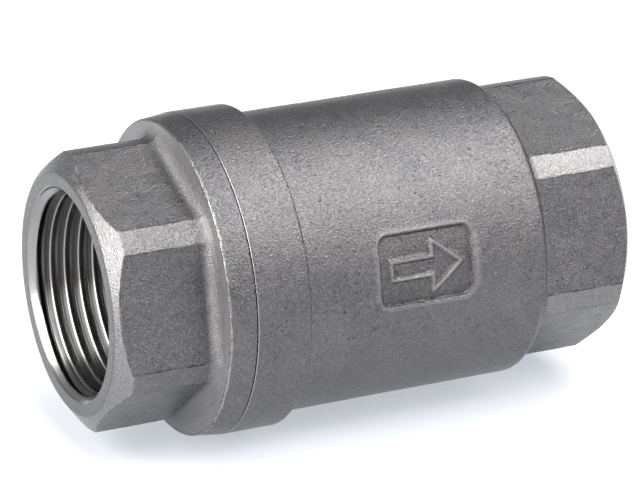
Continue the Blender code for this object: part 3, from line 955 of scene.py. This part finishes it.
def make_stem_clip():
    """An E-clip: open at one side, with three lands that reach into the stem's groove."""
    start, end = span("stem_clip")
    outer = outer_radius("stem_clip")
    half_spacing = math.pi / 3.4

    def outline_at(clock):
        away = clock - MOUTH_CLOCK - math.pi
        land = abs((away + half_spacing) % (2 * half_spacing) - half_spacing)
        inner = CLIP_BORE_R + CLIP_WINDOW * float(smooth(0.28, 0.5, land))
        return eased(ring_outline(start, end, inner, outer), 0.08 * MM)

    return swept_ring("valve_stem_clip", open_clocks(math.radians(38), 121), outline_at)


def make_spring():
    """A wound wire with closed ends, as the CAD spring has it but finer."""
    start, end = span("spring")
    low, high = start + SPRING_WIRE_R, end - SPRING_WIRE_R
    turns = np.linspace(0.0, SPRING_TURNS, SPRING_TURNS * 48 + 1)
    s = np.interp(
        turns,
        [0, 1, SPRING_TURNS - 1, SPRING_TURNS],
        [low, low + SPRING_END_PITCH, high - SPRING_END_PITCH, high],
    )
    path = place(s, np.full(len(s), SPRING_R), MOUTH_CLOCK - 2 * math.pi * turns)
    along = np.gradient(path, axis=0)
    along /= np.linalg.norm(along, axis=1, keepdims=True)
    outward = path * (0.0, 1.0, 1.0) / SPRING_R
    sideways = np.cross(along, outward)
    size = 16
    loops = []
    for k in range(size):
        angle = 2 * math.pi * k / size
        off = math.cos(angle) * outward + math.sin(angle) * sideways
        loops.append(path + SPRING_WIRE_R * off)
    return tube("valve_spring", np.stack(loops, axis=1).reshape(-1, 3), size)


def arm_block(name, clock):
    """One bar of the guide's spider, across the hub from rim to rim."""
    form = bmesh.new()
    reach = (GUIDE_RIM_R + GUIDE_R) / 2
    thickness = GUIDE_RIM[1] - GUIDE_RIM[0] - 2 * ARM_INSET
    size = Matrix.Diagonal((thickness, 2 * reach, ARM_WIDTH, 1.0))
    bmesh.ops.create_cube(form, size=1.0, matrix=size)
    along = [e for e in form.edges if abs((e.verts[0].co - e.verts[1].co).y) > reach]
    bmesh.ops.bevel(form, geom=along, offset=ARM_EDGE, segments=4, affect="EDGES", profile=0.5)
    turn = Matrix.Rotation(-clock, 4, "X")
    middle = CAD_LOW.x + sum(GUIDE_RIM) / 2
    bmesh.ops.transform(form, matrix=Matrix.Translation((middle, 0, 0)) @ turn, verts=form.verts)
    mesh = bpy.data.meshes.new(name)
    form.to_mesh(mesh)
    form.free()
    return finish_mesh(name, mesh)


def make_stem_guide():
    start, end = span("stem_guide")
    rim = turned_ring(
        "valve_stem_guide", ring_outline(*GUIDE_RIM, GUIDE_RIM_R, GUIDE_R), ROUND_EDGE
    )
    hub_outline = [
        (end, 0.5 * MM),
        (end, HUB_R),
        (HUB_SEAT[1], HUB_R),
        (HUB_SEAT[1], HUB_SEAT_R),
        (HUB_SEAT[0], HUB_SEAT_R),
        (HUB_SEAT[0], HUB_BOSS_R),
        (start, HUB_BOSS_R),
        (start, 0.5 * MM),
    ]
    hub = turned_ring("hub", hub_outline, ROUND_EDGE, SMALL_CLOCKS)
    arms = [arm_block(f"arms_{k}", math.radians(45 + 90 * k)) for k in range(2)]
    # the cutter's own thin bore lies inside the hub's, so it leaves nothing behind
    cutter = ring_outline(start - MM, end + MM, 0.2 * MM, HUB_BORE_R)
    bore = turned_ring("bore", cutter, 0.01 * MM, SMALL_CLOCKS)
    combined(rim, "UNION", [hub, *arms])
    return combined(rim, "DIFFERENCE", [bore])


def make_guide_retaining_ring():
    """An internal circlip: slimmer towards its mouth, with a pierced lug at each end."""
    start, end = span("guide_retaining_ring")
    outer = outer_radius("guide_retaining_ring")
    half = math.asin(RING_MOUTH / 2 / RING_BORE_R)
    lug_clock = (RING_MOUTH / 2 + RING_LUG_R / 2) / RING_BORE_R
    slim = 0.5 * MM

    def outline_at(clock):
        away = math.pi - abs(clock - MOUTH_CLOCK - math.pi)
        inner = RING_BORE_R + slim * float(smooth(1.6, 0.5, away))
        beside = (away - lug_clock) * RING_BORE_R / RING_LUG_R
        if abs(beside) < 1:
            inner = min(inner, RING_BORE_R - RING_LUG_R * math.sqrt(1 - beside**2))
        return eased(ring_outline(start, end, inner, outer), 0.1 * MM, steps=2)

    ring = swept_ring("valve_guide_retaining_ring", open_clocks(half, 201), outline_at)
    holes = []
    for side in (-1, 1):
        clock = MOUTH_CLOCK + side * lug_clock
        centre = place(np.float64((start + end) / 2), RING_BORE_R - 0.3 * MM, clock)
        form = bmesh.new()
        bmesh.ops.create_cone(
            form,
            cap_ends=True,
            segments=32,
            radius1=RING_HOLE_R,
            radius2=RING_HOLE_R,
            depth=4 * MM,
            matrix=Matrix.Translation(centre) @ Matrix.Rotation(math.pi / 2, 4, "Y"),
        )
        mesh = bpy.data.meshes.new("lug_hole")
        form.to_mesh(mesh)
        form.free()
        holes.append(finish_mesh(f"lug_hole_{side + 2}", mesh))
    return combined(ring, "DIFFERENCE", holes)


# -------------------------------------------------------------------------------- materials

class Nodes:
    """Shorthand for a material's node tree.  Colours are given as three numbers."""

    MIX_SOCKETS = {"FLOAT": (2, 3, 0), "VECTOR": (4, 5, 1), "RGBA": (6, 7, 2)}

    def __init__(self, name):
        self.material = bpy.data.materials.new(name)
        self.material.use_nodes = True
        self.tree = self.material.node_tree
        self.shader = self.tree.nodes["Principled BSDF"]
        self.place = self.tree.nodes.new("ShaderNodeTexCoord").outputs["Object"]

    def node(self, kind, inputs=None, output=0, **settings):
        node = self.tree.nodes.new(kind)
        for key, value in settings.items():
            setattr(node, key, value)
        for key, value in (inputs or {}).items():
            self.put(node.inputs[key], value)
        return node.outputs[output]

    def put(self, socket, value):
        if isinstance(value, bpy.types.NodeSocket):
            self.tree.links.new(value, socket)
        elif socket.type == "RGBA":
            socket.default_value = (*value, 1.0)
        else:
            socket.default_value = value

    def math(self, operation, a, b=0.0):
        return self.node("ShaderNodeMath", {0: a, 1: b}, operation=operation)

    def noise(self, size, detail=2.0, roughness=0.5, where=None):
        """Noise whose features are about size across, in metres."""
        inputs = {
            "Vector": where or self.place,
            "Scale": 1.0 / size,
            "Detail": detail,
            "Roughness": roughness,
        }
        return self.node("ShaderNodeTexNoise", inputs)

    def ramp(self, value, low, high, start=0.0, end=1.0):
        inputs = {"Value": value, "From Min": low, "From Max": high, "To Min": start, "To Max": end}
        return self.node("ShaderNodeMapRange", inputs)

    def mix(self, share, a, b, kind="FLOAT"):
        first, second, result = self.MIX_SOCKETS[kind]
        inputs = {0: share, first: a, second: b}
        return self.node("ShaderNodeMix", inputs, result, data_type=kind)

    def bump(self, height, distance, normal=None):
        inputs = {"Height": height, "Distance": distance, "Strength": 1.0}
        if normal:
            inputs["Normal"] = normal
        return self.node("ShaderNodeBump", inputs)

    def attribute(self, name):
        return self.node("ShaderNodeAttribute", output=2, attribute_name=name)

    def lathe_place(self):
        """The shaded point's (x, r, 0), on which noise makes fine rings round the flow axis."""
        split = self.tree.nodes.new("ShaderNodeSeparateXYZ")
        self.put(split.inputs[0], self.place)
        y, z = (self.math("POWER", split.outputs[k], 2.0) for k in (1, 2))
        r = self.math("SQRT", self.math("ADD", y, z))
        return self.node("ShaderNodeCombineXYZ", {0: split.outputs[0], 1: r})

    def finish(self, inputs):
        """Gives the shader its inputs, and gives the material."""
        for key, value in inputs.items():
            self.put(self.shader.inputs[key], value)
        return self.material


CAST_GREYS = ((0.091, 0.091, 0.096), (0.140, 0.133, 0.132))
CAST_MOTTLE = (0.130, 0.127, 0.129)
# painted shade in the cast pits
CAST_PIT_SHADE = (0.022, 0.021, 0.020)
SPECKLE = 0.36
CUT_GREYS = ((0.38, 0.371, 0.364), (0.45, 0.44, 0.43))
DULLER = 0.35
STEEL_GREYS = ((0.36, 0.36, 0.365), (0.48, 0.48, 0.475))
SPRING_GREYS = ((0.34, 0.34, 0.36), (0.46, 0.46, 0.47))
PTFE_WHITES = ((0.80, 0.80, 0.77), (0.90, 0.90, 0.88))


def cast_stainless(name):
    """Blasted casting, with bright turned faces where the mesh says so."""
    n = Nodes(name)
    turned = n.attribute("turned")
    shade = n.attribute("shade")

    # casting: mottled grey, a blasted grain of small bumps, and a few pits painted near black as
    # painted shade
    cloud = n.noise(9.0 * MM, 3.0, 0.6)
    mottle = n.noise(1.4 * MM, 4.0, 0.65)
    grey = n.mix(n.ramp(cloud, 0.3, 0.7), *CAST_GREYS, "RGBA")
    grey = n.mix(n.ramp(mottle, 0.35, 0.65), grey, CAST_MOTTLE, "RGBA")
    sparse = n.ramp(n.noise(7.0 * MM, 1.0), 0.48, 0.60)
    pit = n.math("MULTIPLY", n.ramp(n.noise(0.65 * MM, 1.0), 0.68, 0.76), sparse)
    grey = n.mix(n.math("MULTIPLY", pit, 0.7), grey, CAST_PIT_SHADE, "RGBA")
    speckle = n.ramp(n.noise(0.34 * MM, 3.0, 0.7), 0.3, 0.7, SPECKLE, -SPECKLE)
    grain = n.bump(n.noise(0.60 * MM, 1.0), 0.03 * MM)
    grain = n.bump(n.noise(0.28 * MM, 2.0), 0.13 * MM, grain)
    grain = n.bump(pit, -0.06 * MM, grain)
    grain = n.bump(n.noise(0.17 * MM, 1.0), 0.09 * MM, grain)

    # turned: fine rings, of the lathe tool on cylinders and faces alike
    rings = n.lathe_place()
    cuts = n.bump(n.noise(0.16 * MM, 2.0, 0.6, where=rings), 0.012 * MM)
    tone = n.ramp(n.noise(0.35 * MM, 3.0, 0.6, where=rings), 0.3, 0.7)
    bright = n.mix(tone, *CUT_GREYS, "RGBA")

    # both: darker by the mesh's painted shade, or lighter by its painted light, which also dulls
    # what it lightens
    kept = n.math("SUBTRACT", 1.0, n.math("ADD", shade, n.mix(turned, speckle, 0.0)))
    both = n.mix(turned, grey, bright, "RGBA")
    rough = n.mix(turned, n.ramp(mottle, 0.3, 0.7, 0.25, 0.34), n.ramp(tone, 0.0, 1.0, 0.18, 0.26))
    duller = n.math("MAXIMUM", n.math("MULTIPLY", shade, -DULLER), 0.0)
    return n.finish({
        "Base Color": n.node("ShaderNodeVectorMath", {0: both, 3: kept}, operation="SCALE"),
        "Metallic": 1.0,
        "Roughness": n.math("ADD", rough, duller),
        "Anisotropic": n.math("MULTIPLY", turned, 0.5),
        "Normal": n.mix(turned, grain, cuts, "VECTOR"),
        "Tangent": n.node("ShaderNodeTangent", direction_type="RADIAL", axis="X"),
    })


def turned_steel(name, greys, roughness):
    """Turned or drawn steel with fine lines round the flow axis."""
    n = Nodes(name)
    line = n.noise(0.18 * MM, 2.0, 0.6, where=n.lathe_place())
    cloud = n.noise(3.0 * MM, 3.0, 0.6)
    tone = n.ramp(n.mix(0.5, line, cloud), 0.35, 0.65)
    return n.finish({
        "Base Color": n.mix(tone, *greys, "RGBA"),
        "Metallic": 1.0,
        "Roughness": n.ramp(cloud, 0.3, 0.7, roughness, roughness + 0.12),
        "Normal": n.bump(line, 0.01 * MM),
    })


def white_ptfe(name):
    n = Nodes(name)
    cloud = n.noise(2.5 * MM, 3.0, 0.6)
    return n.finish({
        "Base Color": n.mix(n.ramp(cloud, 0.3, 0.7), *PTFE_WHITES, "RGBA"),
        "Roughness": n.ramp(cloud, 0.3, 0.7, 0.38, 0.50),
        "Normal": n.bump(n.noise(0.3 * MM, 2.0), 0.01 * MM),
    })


# ----------------------------------------------------------------------------- the pieces

MATERIALS = {
    "cast_stainless": cast_stainless("cast_stainless"),
    "turned_stainless": turned_steel("turned_stainless", STEEL_GREYS, 0.22),
    "spring_steel": turned_steel("spring_steel", SPRING_GREYS, 0.20),
    "ptfe": white_ptfe("ptfe"),
}
MAKERS = {
    "end_cap": make_end_cap,
    "body": make_body,
    "joint_gasket": lambda: make_ring("joint_gasket", SOCKET_R),
    "poppet_disc": make_poppet_disc,
    "seat_seal": lambda: make_ring("seat_seal", SEAL_BORE_R, ROUND_EDGE),
    "seal_retainer": lambda: make_ring("seal_retainer", FASTENER_BORE_R, ROUND_EDGE),
    "lock_washer": make_lock_washer,
    "retainer_nut": make_retainer_nut,
    "poppet_stem": make_poppet_stem,
    "stem_clip": make_stem_clip,
    "spring_washer": lambda: make_ring("spring_washer", WASHER_BORE_R),
    "spring": make_spring,
    "stem_guide": make_stem_guide,
    "guide_bush": lambda: make_ring("guide_bush", BUSH_BORE_R),
    "guide_retaining_ring": make_guide_retaining_ring,
}
BODY_OF = {node: body for body, nodes in RECORD["behaviour"]["bodies"].items() for node in nodes}


def dress(piece, slot, body, node):
    piece.data.materials.clear()
    piece.data.materials.append(MATERIALS[slot])
    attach(piece, body)
    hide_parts(node)


pieces = {}
for subpart in RECORD["subparts"]:
    node = subpart["node"]
    pieces[node] = MAKERS[node]()
    dress(pieces[node], subpart["material_slot"], BODY_OF[node], node)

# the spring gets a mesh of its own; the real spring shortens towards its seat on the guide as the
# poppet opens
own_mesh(pieces["spring"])


# ------------------------------------------------------------------------------- the stage

FLOOR_HALF = 3.0
FLOOR_COLOUR = (0.42, 0.42, 0.43)
FLOOR_GLOW = (0.90, 0.97, 1.04)
FLOOR_GLOW_STRENGTH = 0.50
FLOOR_ROUGHNESS = 0.9
WORLD_COLOUR = (0.97, 0.99, 1.03, 1.0)
WORLD_STRENGTH = 0.42

CAMERA_PLACE = (-0.2510, -0.5337, 0.2297)
CAMERA_TARGET = (-0.0005, 0.0009, 0.0015)
CAMERA_LENS = 233.1
CAMERA_SENSOR = 36.0
CAMERA_CLIP = 0.01

# (name, azimuth, elevation, power, colour).  Azimuth 0 is in front (-Y) and 90 is at +X.
SOFTBOX_SIZE = 0.42
SOFTBOX_DISTANCE = 0.85
WHITE = (1.0, 1.0, 1.0)
SOFTBOXES = (
    ("front_high", 0, 58, 4.6, WHITE),
    ("right_high", 90, 58, 5.2, WHITE),
    ("overhead", 0, 88, 1.0, WHITE),
    ("right_front", 42, 34, 3.9, (1.0, 0.955, 0.95)),
    ("left_front", -70, 20, 4.5, (1.0, 0.97, 0.94)),
    ("left_high", -97, 37, 5.0, WHITE),
    ("left_low", -90, 8, 1.7, (1.0, 0.96, 0.92)),
)


def make_floor():
    mesh = bpy.data.meshes.new("floor")
    half = FLOOR_HALF
    corners = [(-half, -half, 0), (half, -half, 0), (half, half, 0), (-half, half, 0)]
    mesh.from_pydata(corners, [], [(0, 1, 2, 3)])
    floor = bpy.data.objects.new("floor", mesh)
    floor.location.z = CAD_LOW.z
    bpy.context.scene.collection.objects.link(floor)
    floor.data.materials.append(Nodes("floor").finish({
        "Base Color": FLOOR_COLOUR,
        "Emission Color": FLOOR_GLOW,
        "Emission Strength": FLOOR_GLOW_STRENGTH,
        "Roughness": FLOOR_ROUGHNESS,
    }))


def softbox(name, azimuth, elevation, power, colour):
    """A square softbox that faces the valve."""
    data = bpy.data.lights.new(name, "AREA")
    data.shape = "SQUARE"
    data.size = SOFTBOX_SIZE
    data.energy = power
    data.color = colour
    turn, rise = math.radians(azimuth), math.radians(elevation)
    direction = Vector(
        (math.sin(turn) * math.cos(rise), -math.cos(turn) * math.cos(rise), math.sin(rise))
    )
    lamp = bpy.data.objects.new(name, data)
    lamp.location = direction * SOFTBOX_DISTANCE
    lamp.rotation_euler = (-direction).to_track_quat("-Z", "Y").to_euler()
    bpy.context.scene.collection.objects.link(lamp)


def make_camera():
    data = bpy.data.cameras.new("camera")
    data.sensor_width = CAMERA_SENSOR
    data.lens = CAMERA_LENS
    data.clip_start = CAMERA_CLIP
    camera = bpy.data.objects.new("camera", data)
    camera.location = CAMERA_PLACE
    camera.rotation_mode = "QUATERNION"
    view = Vector(CAMERA_TARGET) - camera.location
    camera.rotation_quaternion = view.to_track_quat("-Z", "Y")
    bpy.context.scene.collection.objects.link(camera)
    bpy.context.scene.camera = camera


make_floor()
make_camera()
for settings in SOFTBOXES:
    softbox(*settings)

world = bpy.data.worlds.new("studio")
world.use_nodes = True
background = world.node_tree.nodes["Background"]
background.inputs["Color"].default_value = WORLD_COLOUR
background.inputs["Strength"].default_value = WORLD_STRENGTH
bpy.context.scene.world = world
bpy.context.scene.view_settings.view_transform = "Standard"
